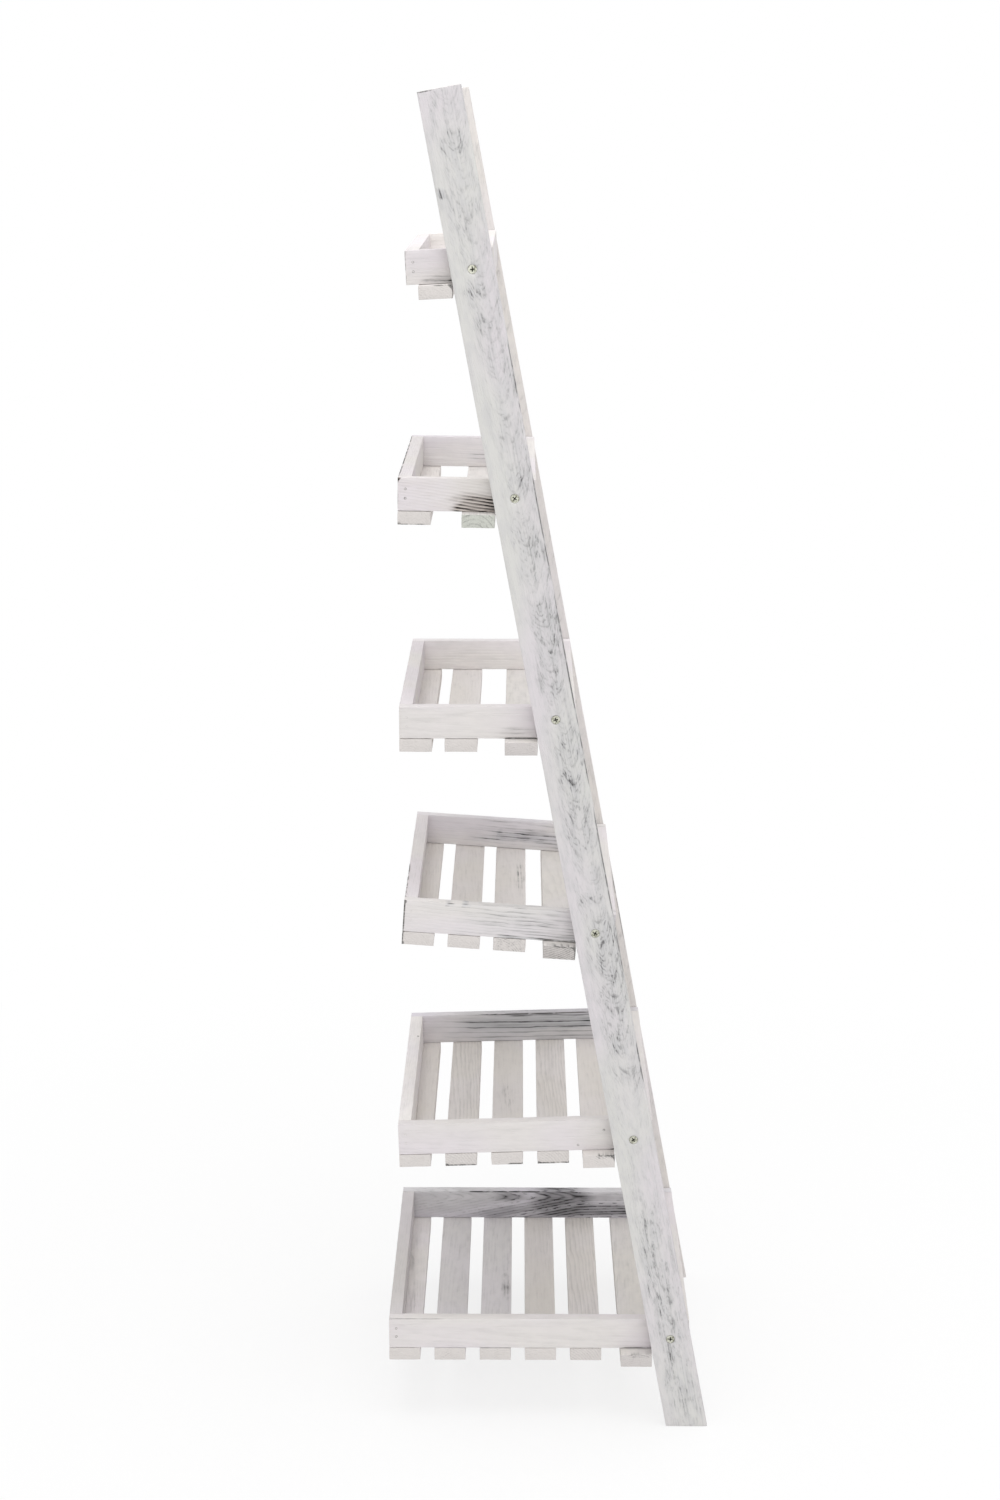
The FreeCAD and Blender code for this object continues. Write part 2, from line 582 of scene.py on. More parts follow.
FAN_WASH = Whitewash(
    "fanned_whitewash", veil=(205, 197, 191), bare=(18, 17, 17), pale_bare=(112, 101, 94), ring=0.0034,
    rise=-0.12, heart=(-0.034, 0.004), wander=0.002, ripple=0.0005, soft=0.30, edge=0.6, broken=0.1,
    show=0.02, fibre=0.4, worn=0.5)
STREAK_WASH = Whitewash(
    "streaked_whitewash", chalk=(226, 221, 225), cream=(226, 222, 219), veil=(208, 206, 210),
    bare=(52, 51, 51), pale_bare=(118, 115, 112), ring=0.0040, rise=0.014, heart=(0.03, 0.02),
    ripple=0.0008, soft=0.70, broken=0.4)
LINED_WASH = replace(
    STREAK_WASH, name="lined_whitewash", chalk=(222, 217, 224), cream=(222, 218, 217), veil=(188, 188, 190),
    bare=(44, 44, 45), pale_bare=(116, 114, 113), ring=0.0052, rise=0.012, ripple=0.0007, soft=0.72,
    broken=0.2, show=0.03, fibre=0.35, worn=0.4)
FINE_WASH = Whitewash(
    "fine_grained_whitewash", veil=(209, 208, 209), ring=0.0033, heart=(0.03, 0.016), wander=0.005,
    ripple=0.0010, soft=0.66, broken=0.4, show=0.03, fibre=0.5)
FLAME_WASH = Whitewash(
    "flamed_whitewash", chalk=(224, 220, 227), cream=(222, 220, 222), veil=(166, 164, 168), bare=(46, 45, 46),
    pale_bare=(96, 95, 96), ring=0.0192, rise=-0.2, heart=(0.011, -0.0043), wander=0.0020, ripple=0.0008,
    soft=0.28, edge=0.36, broken=0.15, show=0.05, fibre=0.4, mottle=0.12, sway=0.001, hair=1.5, hairs=5.0,
    comb=0.45, worn=0.4)
SLAT_WASH = Whitewash(
    "slat_whitewash", chalk=(223, 218, 216), cream=(222, 217, 212), veil=(210, 206, 202), show=0.05,
    heart=(0.02, -0.03), broken=0.7, fibre=1.0, mottle=0.15)
LINED_SLAT_WASH = replace(
    SLAT_WASH, name="lined_slat_whitewash", veil=(208, 203, 198), ring=0.0030, heart=(0.03, -0.03),
    broken=0.2, show=0.13, mottle=0.2, worn=0.4)
GREY_SLAT_WASH = replace(
    SLAT_WASH, name="grey_slat_whitewash", chalk=(221, 217, 219), cream=(219, 216, 215),
    veil=(206, 203, 205), show=0.07, heart=(-0.012, -0.02), mottle=0.3)
DARK_BUTT_WASH = Whitewash(
    "dark_butt_whitewash", chalk=(221, 217, 215), cream=(220, 216, 211), veil=(206, 203, 200),
    butt=(204, 199, 197), show=0.07, heart=(0.0, -0.03), fibre=0.9, mottle=0.3)
GREEN_BUTT_WASH = replace(
    DARK_BUTT_WASH, name="green_butt_whitewash", butt=(199, 201, 193), ring=0.0052, soft=0.6,
    heart=(0.005, -0.017))
LINED_BUTT_WASH = replace(
    DARK_BUTT_WASH, name="lined_butt_whitewash", butt=(198, 193, 190), ring=0.0021, heart=(0.03, -0.12),
    broken=0.3, fibre=0.25, worn=0.5)
# The pivot screws get painted shade down in their recess
SCREW_ZINC = Zinc("screw_zinc", unshaded_from=0.2315)
NAIL_ZINC = Zinc("nail_zinc", bright=(190, 187, 184), dull=(128, 126, 124), roughness=0.5)
DAUBED_NAIL = Zinc("daubed_nail", bright=(218, 213, 212), dull=(203, 199, 197), roughness=0.7, metal=0.0)


@dataclass(frozen=True)
class Stock:
    """Sawn sizes and places that all the boards share."""

    lean: float = math.radians(10.5)  # of the rails, back from upright
    rail_width: float = 0.050
    rail_thick: float = 0.018
    rail_head: float = 0.200  # rail above the top pivot
    pivot_pitch: float = 0.261  # from one pivot to the next along the rail
    pivot_rise: float = 0.1145  # lowest pivot above the floor
    tray_width: float = 0.428  # across the outer faces of the end boards
    board_height: float = 0.0385
    board_thick: float = 0.016
    slat_width: float = 0.0385
    slat_thick: float = 0.016
    front_reach: float = 0.024  # front face of a tray ahead of its pivot
    side_gap: float = 0.0005  # from an end board to the rail
    stop_gap: float = 0.0003  # from a stop slat to the rail
    solid_ease: float = 0.001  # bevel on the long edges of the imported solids
    low_rear: float = 0.343  # rear face of the lowest tray behind its pivot
    levels: int = 6

    def half_width(self) -> float:
        """Outer face of a rail from the middle of the shelf."""
        return self.tray_width / 2 + self.side_gap + self.rail_thick

    def head(self) -> float:
        """Head of a rail along it, from the lowest pivot."""
        return self.pivot_pitch * (self.levels - 1) + self.rail_head

    def along_rail(self) -> Vector:
        """Direction up the rails."""
        return Vector((0.0, math.sin(self.lean), math.cos(self.lean)))

    def pivot(self, number: int) -> Vector:
        """Find the middle of a tray's pivot line.

        Args:
            number: The tray, 1 at the top.

        Returns:
            The place of its pivot.
        """
        foot_reach = self.pivot_rise * math.tan(self.lean) + self.rail_width / 2 / math.cos(self.lean)
        low = Vector((0.0, (foot_reach - self.low_rear) / 2, self.pivot_rise))
        return low + self.along_rail() * (self.pivot_pitch * (self.levels - number))


STOCK = Stock()


@dataclass(frozen=True)
class Patch:
    """A soft-edged patch of wear in a board's own length, width and thickness."""

    mark: Mark  # BARE for thin paint, ARRIS for a rubbed arris
    centre: Triple
    reach: Triple  # half its length, width and thickness
    amount: float  # how strong it is, below 0 where the paint is thicker
    rim: float = 1.35  # where it ends, in reaches from its middle
    fade: float = 0.7  # how much of that it fades over

    def at(self, point: Vector) -> float:
        """How much of the patch reaches a point.

        Args:
            point: A point of the board on the bench.

        Returns:
            The amount of wear there.
        """
        far = math.sqrt(sum(((p - c) / r) ** 2 for p, c, r in zip(point, self.centre, self.reach)))
        share = min(max((self.rim - far) / self.fade, 0.0), 1.0)
        return self.amount * share * share * (3 - 2 * share)


@dataclass(frozen=True)
class Look:
    """A board's finish and its own wear."""

    finish: Whitewash
    patches: tuple[Patch, ...] = ()
    calm: float = -math.inf  # point along it below which its rings hardly climb
    calm_climb: float = 0.12  # share of their climb that is left there

    def climb(self, along: float) -> float:
        """How far the rings have climbed at a point along the board."""
        return max(along, self.calm) + self.calm_climb * min(along - self.calm, 0.0)

    def wear(self, mark: Mark, point: Vector) -> float:
        """How much wear of one kind there is at a point of the board."""
        return sum(patch.at(point) for patch in self.patches if patch.mark is mark)


# Long arris of a board or slat from the middle of its width, just inside its edge
ASIDE = 0.0192

# Face of a rail and of an end board towards the camera, and upper and lower face of a slat
RAIL_FACE = -STOCK.rail_thick / 2
NEAR_FACE = -STOCK.board_thick / 2
UPPER_FACE = STOCK.slat_thick / 2
LOWER_FACE = -STOCK.slat_thick / 2

# Near end of a slat and of a stop slat
SLAT_END = -STOCK.tray_width / 2
STOP_END = -STOCK.half_width()

# How far a rub goes round an arris, and along a slat from its end
ARRIS_REACH = 0.003
END_REACH = 0.004

# Reach of a patch that goes through the whole board
THROUGH = 0.5

# Smudge on a stop slat's end: its middle above the slat's, half its height, and how far it goes into the slat
SMUDGE_RISE = 0.0068
SMUDGE_HALF_HEIGHT = 0.0022
SMUDGE_REACH = 0.010


class Arris(Enum):
    """A long arris: its place across and through its board."""

    RAIL_FRONT = (STOCK.rail_width / 2, RAIL_FACE)
    UPPER = (ASIDE, NEAR_FACE)
    LOWER = (-ASIDE, NEAR_FACE)


def bare(along: float, across: float, half_length: float, half_width: float, amount: float) -> Patch:
    """Thin paint on both faces of a board, round a place along and across it."""
    return Patch(Mark.BARE, (along, across, 0.0), (half_length, half_width, THROUGH), amount)


def smudged(across: float, half_width: float, amount: float) -> Patch:
    """Thin paint on a stop slat's end, in a strip under the end board."""
    reach = (SMUDGE_REACH, half_width, SMUDGE_HALF_HEIGHT)
    return Patch(Mark.BARE, (STOP_END, across, SMUDGE_RISE), reach, amount)


def rubbed(centre: Triple, reach: Triple, amount: float = 1.0) -> Patch:
    """Arris that is rubbed through to the wood."""
    return Patch(Mark.ARRIS, centre, reach, amount)


def rubbed_along(arris: Arris, along: float, half_length: float, amount: float = 1.0) -> Patch:
    """Stretch of a long arris that is rubbed through, round a place along the board."""
    return rubbed((along, *arris.value), (half_length, ARRIS_REACH, ARRIS_REACH), amount)


def rubbed_end(end: float, face: float, across: float, half_width: float, amount: float = 1.0) -> Patch:
    """Stretch of the arris between a slat's end and one of its faces that is rubbed through."""
    return rubbed((end, across, face), (END_REACH, half_width, ARRIS_REACH), amount)


def rubbed_rear(along: float, across: float, half_width: float, amount: float = 1.0) -> Patch:
    """Stretch of the upright arris at the rear of an end board that is rubbed through."""
    return rubbed((along, across, NEAR_FACE), (ARRIS_REACH, half_width, ARRIS_REACH), amount)


def rubbed_corner(end: float, across: float, through: float, half_height: float, amount: float) -> Patch:
    """Stretch of an upright arris at a slat's end that is rubbed through."""
    return rubbed((end, across, through), (END_REACH, ARRIS_REACH, half_height), amount)


# Where the near rail's figure shows: middle along and across it, half the length, and how much shows
NEAR_RAIL_FIGURE = (
    (1.447, 0.004, 0.014, 0.28), (1.367, 0.005, 0.022, 0.18), (1.281, 0.000, 0.008, 0.40),
    (1.247, 0.006, 0.014, 0.20), (1.215, 0.010, 0.020, 0.08), (1.110, 0.012, 0.034, 0.12),
    (1.062, 0.014, 0.018, 0.22), (0.992, 0.006, 0.022, 0.30), (0.960, 0.012, 0.016, 0.28),
    (0.890, 0.012, 0.034, 0.46), (0.832, 0.002, 0.030, 0.30), (0.745, 0.011, 0.026, 0.34),
    (0.711, 0.005, 0.012, 0.36), (0.660, 0.004, 0.045, 0.28), (0.563, 0.001, 0.008, 0.42),
    (0.527, 0.014, 0.014, 0.42), (0.490, 0.011, 0.030, 0.44), (0.440, 0.008, 0.030, 0.34),
    (0.390, 0.005, 0.018, 0.36), (0.345, 0.006, 0.012, 0.20), (0.140, -0.004, 0.030, 0.24),
    (0.080, -0.004, 0.040, 0.24), (0.020, 0.000, 0.040, 0.24), (-0.055, 0.000, 0.035, 0.28),
)
FIGURE_HALF_WIDTH = 0.015

# Where the near rail's front arris is rubbed: middle along it, half the length, and how much is gone
NEAR_RAIL_RUBS = (
    (0.607, 0.062, 1.0), (0.494, 0.022, 1.0), (0.356, 0.024, 1.0), (0.850, 0.075, 1.0), (0.730, 0.030, 0.8),
    (1.010, 0.060, 0.9), (1.180, 0.040, 0.8),
)

# Boards that differ from the plain ones of their kind
LOOKS: dict[str, Look] = {
    "left_rail": Look(RAIL_WASH, (
        *(bare(a, c, half, FIGURE_HALF_WIDTH, amount) for a, c, half, amount in NEAR_RAIL_FIGURE),
        bare(0.69, -0.026, 3.0, 0.012, -0.14),
        bare(1.00, -0.016, 0.28, 0.014, -0.10),
        bare(0.26, 0.008, 0.070, 0.018, -0.12),
        bare(1.393, -0.0185, 0.005, 0.005, 0.9),
        bare(1.182, 0.0210, 0.022, 0.004, 0.45),
        *(rubbed_along(Arris.RAIL_FRONT, *stretch) for stretch in NEAR_RAIL_RUBS),
        rubbed((STOCK.head(), -0.012, RAIL_FACE), (ARRIS_REACH, 0.014, ARRIS_REACH), 0.8)), calm=0.25),
    "right_rail": Look(FAR_RAIL_WASH, (rubbed_along(Arris.RAIL_FRONT, 0.42, 0.05, 0.7),)),
    "tray_1_left_end": Look(END_WASH, (
        bare(0.008, -0.0150, 0.022, 0.0050, 0.9),
        rubbed_rear(0.0497, 0.0, 0.022, 0.4))),
    "tray_1_right_end": Look(LIGHTENED_WASH),
    "tray_1_stop_slat": Look(SLAT_WASH, (
        rubbed_end(STOP_END, UPPER_FACE, -0.010, 0.012, 0.6),
        rubbed_corner(STOP_END, -0.019, 0.0, 0.010, 0.5))),
    "tray_2_left_end": Look(FAN_WASH, (
        bare(-0.015, -0.0170, 0.028, 0.0070, 1.7),
        bare(-0.022, -0.0110, 0.030, 0.0070, 1.3),
        bare(-0.008, -0.0040, 0.026, 0.0050, 0.50),
        bare(-0.034, -0.0150, 0.014, 0.0080, 0.8),
        rubbed_along(Arris.LOWER, -0.034, 0.022, 0.9),
        rubbed((0.079, 0.0185, NEAR_FACE), (0.004, 0.004, 0.004)),
        rubbed_rear(0.079, -0.008, 0.014, 0.35))),
    "tray_2_right_end": Look(STREAK_WASH, (bare(-0.03, -0.006, 0.03, 0.01, 0.30),)),
    "tray_2_rear_board": Look(END_WASH, (rubbed_along(Arris.UPPER, 0.0, 0.21, 0.8),)),
    "tray_2_slat_1": Look(SLAT_WASH, (rubbed_end(SLAT_END, LOWER_FACE, 0.004, 0.020, 0.6),)),
    "tray_2_stop_slat": Look(GREEN_BUTT_WASH, (bare(STOP_END, 0.0, 0.010, 0.03, 0.2),)),
    "tray_3_left_end": Look(END_WASH, (
        bare(-0.034, -0.0130, 0.022, 0.0075, 0.30),
        # Painted shade: this rubbed lower arris over the stop slat stands for the dark line where the end
        # board meets it
        rubbed_along(Arris.LOWER, -0.038, 0.021, 0.9))),
    "tray_3_right_end": Look(LIGHTENED_WASH),
    "tray_3_stop_slat": Look(DARK_BUTT_WASH),
    "tray_4_left_end": Look(FINE_WASH, (
        bare(-0.050, 0.0, 0.095, 0.05, 0.36),
        rubbed_along(Arris.LOWER, -0.062, 0.026),
        bare(0.0711, 0.0178, 0.004, 0.0015, 1.1),
        bare(0.0523, 0.0182, 0.004, 0.0015, 1.1),
        bare(0.058, -0.0165, 0.018, 0.0018, 0.8),
        bare(-0.020, -0.0180, 0.030, 0.0020, 0.8),
        bare(-0.090, -0.0165, 0.040, 0.0040, 0.55),
        rubbed_along(Arris.UPPER, 0.0711, 0.004, 0.7),
        rubbed_along(Arris.UPPER, 0.0523, 0.003, 0.6),
        rubbed_rear(0.1255, 0.002, 0.022))),
    "tray_4_right_end": Look(STREAK_WASH, (
        bare(-0.045, 0.0, 0.085, 0.05, 0.20),
        bare(-0.030, -0.0020, 0.050, 0.0060, 0.90),
        bare(0.0125, -0.0016, 0.0022, 0.009, 1.2),
        bare(0.030, -0.0080, 0.030, 0.0040, 0.40),
        bare(-0.060, -0.0110, 0.040, 0.0040, 0.40))),
    "tray_4_rear_board": Look(END_WASH, (rubbed_along(Arris.UPPER, -0.13, 0.08, 0.8),)),
    "tray_4_slat_1": Look(SLAT_WASH, (rubbed_corner(SLAT_END, 0.019, 0.0, 0.010, 0.8),)),
    "tray_4_slat_3": Look(SLAT_WASH, (
        bare(0.06, -0.012, 0.09, 0.003, 0.4),
        bare(-0.21, 0.0, 0.012, 0.02, 0.2))),
    "tray_4_stop_slat": Look(LINED_BUTT_WASH, (
        bare(STOP_END, 0.0, 0.010, 0.03, 0.70),
        rubbed_corner(STOP_END, -ASIDE, 0.0, 0.008, 0.8),
        rubbed_end(STOP_END, UPPER_FACE, -0.006, 0.014, 0.7))),
    "tray_5_left_end": Look(END_WASH, (rubbed_along(Arris.LOWER, -0.125, 0.024, 0.8),)),
    "tray_5_right_end": Look(LINED_WASH, (
        bare(-0.040, 0.0, 0.130, 0.05, 0.45),
        bare(-0.010, 0.0060, 0.100, 0.0100, 0.60),
        rubbed_along(Arris.UPPER, -0.020, 0.080, 0.8))),
    "tray_5_rear_board": Look(LIGHTENED_WASH),
    "tray_5_slat_2": Look(LINED_SLAT_WASH, (rubbed_end(SLAT_END, LOWER_FACE, 0.0, 0.022),)),
    "tray_5_slat_3": Look(SLAT_WASH, (
        bare(-0.02, 0.0, 0.05, 0.008, 0.2),
        rubbed_end(SLAT_END, LOWER_FACE, -0.011, 0.010))),
    "tray_5_slat_4": Look(LINED_SLAT_WASH, (rubbed_end(SLAT_END, LOWER_FACE, 0.0, 0.022),)),
    "tray_5_stop_slat": Look(SLAT_WASH, (
        smudged(-0.009, 0.011, 0.9),
        rubbed_end(STOP_END, UPPER_FACE, -0.010, 0.011, 0.7),
        rubbed_corner(STOP_END, -ASIDE, 0.004, 0.005, 0.7))),
    "tray_6_left_end": Look(END_WASH, (
        rubbed_along(Arris.UPPER, 0.150, 0.036, 0.4),
        rubbed_along(Arris.LOWER, -0.122, 0.020, 0.9))),
    "tray_6_right_end": Look(FLAME_WASH, (
        bare(0.060, 0.0, 0.110, 0.05, 0.12),
        bare(-0.034, 0.0080, 0.040, 0.014, 0.85),
        bare(-0.085, -0.0085, 0.075, 0.010, 0.80),
        bare(0.034, 0.0110, 0.022, 0.006, 0.60),
        bare(0.020, -0.0110, 0.060, 0.010, 0.45),
        bare(-0.105, 0.0090, 0.030, 0.009, 0.28),
        rubbed_along(Arris.UPPER, 0.040, 0.060, 0.8)), calm=-0.055),
    "tray_6_rear_board": Look(SHADED_WASH),
    "tray_6_slat_1": Look(LIGHTENED_WASH, (
        bare(0.070, 0.0, 0.050, 0.004, 0.2),
        bare(-0.06, -0.004, 0.04, 0.003, 0.15))),
    "tray_6_slat_2": Look(GREY_SLAT_WASH),
    "tray_6_slat_3": Look(GREY_SLAT_WASH, (bare(-0.02, -0.012, 0.10, 0.004, 0.3),)),
    "tray_6_slat_5": Look(LINED_SLAT_WASH),
    "tray_6_stop_slat": Look(DARK_BUTT_WASH, (smudged(-0.004, 0.014, 0.4),)),
}


class Lay(Enum):
    """How a board lies in its tray: the directions of its length, its width and its thickness."""

    END = ((0, 1, 0), (0, 0, 1), (1, 0, 0))
    CROSS = ((1, 0, 0), (0, 0, 1), (0, -1, 0))
    FLAT = ((1, 0, 0), (0, 1, 0), (0, 0, 1))


def lain(axes: tuple[Triple | Vector, ...], centre: Triple | Vector) -> Matrix:
    """Make the place of a board from the directions of its length, width and thickness, and its middle."""
    turn = Matrix([Vector(a) for a in axes]).transposed().to_4x4()
    return Matrix.Translation(Vector(centre)) @ turn


@dataclass
class Bench:
    """Bench where boards are cut, divided and eased. A size is cut once, and further boards are copies."""

    ease: float = 0.0006  # width of the eased arrises
    ease_steps: int = 3  # facets across them
    sharp: float = math.radians(40)  # angle from which an edge is an arris
    smooth: float = math.radians(38)  # angle up to which faces are shaded as one
    cell: float = 0.0048  # length of the cells that a board is divided into
    least_cuts: tuple[int, int, int] = (8, 4, 2)  # fewest cuts along, across and through a board
    warp: tuple[float, float] = (0.0002, 0.055)  # depth of the warp, and the size of its waves
    nibble: tuple[float, float] = (0.0005, 0.011)  # depth of the nibbled arrises, and the size of the bites
    arris_band: float = 1.1  # how far from an arris its points lie, in eases
    unworn: float = 0.5  # mark of an arris that keeps its paint
    grain_step: float = 2.37  # from one board's stretch of grain to the next
    blanks: dict[Triple, Piece] = field(default_factory=dict)  # first board of each size
    count: int = 0  # boards marked so far

    def cut(self, size: Triple) -> Piece:
        """Saw a plain board round the bench origin.

        Args:
            size: Length, width and thickness.

        Returns:
            The board, still with sharp arrises.
        """
        bpy.ops.object.select_all(action="DESELECT")
        bpy.ops.mesh.primitive_cube_add(size=1.0)
        piece = bpy.context.object
        piece.scale = size
        bpy.ops.object.transform_apply(location=True, rotation=True, scale=True)
        return piece

    def divide(self, piece: Piece, axis: int, cuts: int) -> None:
        """Divide all the edges that run mostly along one axis.

        Args:
            piece: The board.
            axis: 0 along, 1 across or 2 through.
            cuts: Cuts in each edge.
        """
        pick(piece, Kind.EDGES, lambda a, b: max(range(3), key=lambda i: abs(b[i] - a[i])) == axis)
        bpy.ops.mesh.subdivide(number_cuts=cuts)
        bpy.ops.object.mode_set(mode="OBJECT")

    def soften(self, piece: Piece) -> None:
        """Round the arrises of a divided board.

        Args:
            piece: The board.
        """
        pick(piece, Kind.EDGES, lambda a, b: False)
        bpy.ops.mesh.edges_select_sharp(sharpness=self.sharp)
        bpy.ops.mesh.bevel(offset=self.ease, offset_type="OFFSET", segments=self.ease_steps, profile=0.5,
                           affect="EDGES")
        bpy.ops.object.mode_set(mode="OBJECT")
        bpy.ops.object.shade_smooth_by_angle(angle=self.smooth)

    def board(self, name: str, size: Triple) -> Piece:
        """Give a board of a size, divided and eased.

        Args:
            name: The board's name.
            size: Length, width and thickness.

        Returns:
            A board on the bench with a mesh of its own.
        """
        key = tuple(round(s, 6) for s in size)
        if key not in self.blanks:
            blank = self.cut(size)
            for axis, least in enumerate(self.least_cuts):
                self.divide(blank, axis, max(least, round(size[axis] / self.cell) - 1))
            self.soften(blank)
            blank.name = "blank"
            self.blanks[key] = blank
        return copy_of(self.blanks[key], name)

    def on_arris(self, gaps: Iterable[float]) -> float:
        """1 for a point close to two sides of a board and 0 elsewhere, from its distance to the sides."""
        return 1.0 if sorted(gaps)[1] < self.ease * self.arris_band else 0.0

    def mark(self, piece: Piece, look: Look, near_arris: Callable[[Vector], float]) -> None:
        """Write the marks on a board that its finish reads, and the group of its arris points.

        Args:
            piece: The board on the bench.
            look: Its finish and wear.
            near_arris: Says 1 on an arris, 0 away from it and more where dirt and painted shade sit.
        """
        self.count += 1
        offset = Vector((self.grain_step * self.count, 0.0, 0.0))
        mesh = piece.data
        places: list[float] = []
        marks: dict[Mark, list[float]] = {m: [] for m in (Mark.CLIMB, Mark.BARE, Mark.ARRIS, Mark.BUTT)}
        group = piece.vertex_groups.new(name="arris_points")
        along = [v.co.x for v in mesh.vertices]
        first, last = min(along) + self.ease / 2, max(along) - self.ease / 2
        for vertex in mesh.vertices:
            point = vertex.co
            edge = near_arris(point)
            places.extend(point + offset)
            marks[Mark.CLIMB].append(look.climb(point.x))
            marks[Mark.BARE].append(look.wear(Mark.BARE, point))
            worn = self.unworn + (1.0 - self.unworn) * look.wear(Mark.ARRIS, point)
            marks[Mark.ARRIS].append(edge * min(worn, 1.0))
            marks[Mark.BUTT].append(0.0 if first < point.x < last else 1.0)
            if 0.0 < edge <= 1.0:
                group.add([vertex.index], edge, "REPLACE")
        grain = mesh.attributes.new(Mark.GRAIN.value, "FLOAT_VECTOR", "POINT")
        grain.data.foreach_set("vector", places)
        for mark, values in marks.items():
            mesh.attributes.new(mark.value, "FLOAT", "POINT").data.foreach_set("value", values)

    def weather(self, piece: Piece) -> None:
        """Warp a placed board a little and nibble its arrises, always inwards.

        Args:
            piece: The board in its place.
        """
        activate(piece)
        for name, (depth, size), group in (("warp", self.warp, ""), ("nibble", self.nibble, "arris_points")):
            texture = bpy.data.textures.get(name)
            if not texture:
                texture = bpy.data.textures.new(name, "CLOUDS")
                texture.noise_scale = size
            modifier = piece.modifiers.new(name, "DISPLACE")
            modifier.texture = texture
            modifier.texture_coords = "LOCAL"
            modifier.strength = depth
            modifier.mid_level = 1.0
            modifier.vertex_group = group
            bpy.ops.object.modifier_apply(modifier=name)
        piece.vertex_groups.clear()

    def clear(self) -> None:
        """Take the blanks off the bench."""
        for blank in self.blanks.values():
            bpy.data.objects.remove(blank)
        self.blanks.clear()


def dress(piece: Piece, node: str, body: str, finish: Whitewash) -> None:
    """Paint a board and let it stand for its solid.

    Args:
        piece: The board in its place.
        node: The solid that it stands for.
        body: The body that it moves with.
        finish: Its paint.
    """
    finish.coat(piece)
    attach(piece, body)
    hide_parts(node)
    log.info("%s: %d faces, %s", piece.name, len(piece.data.polygons), finish.name)


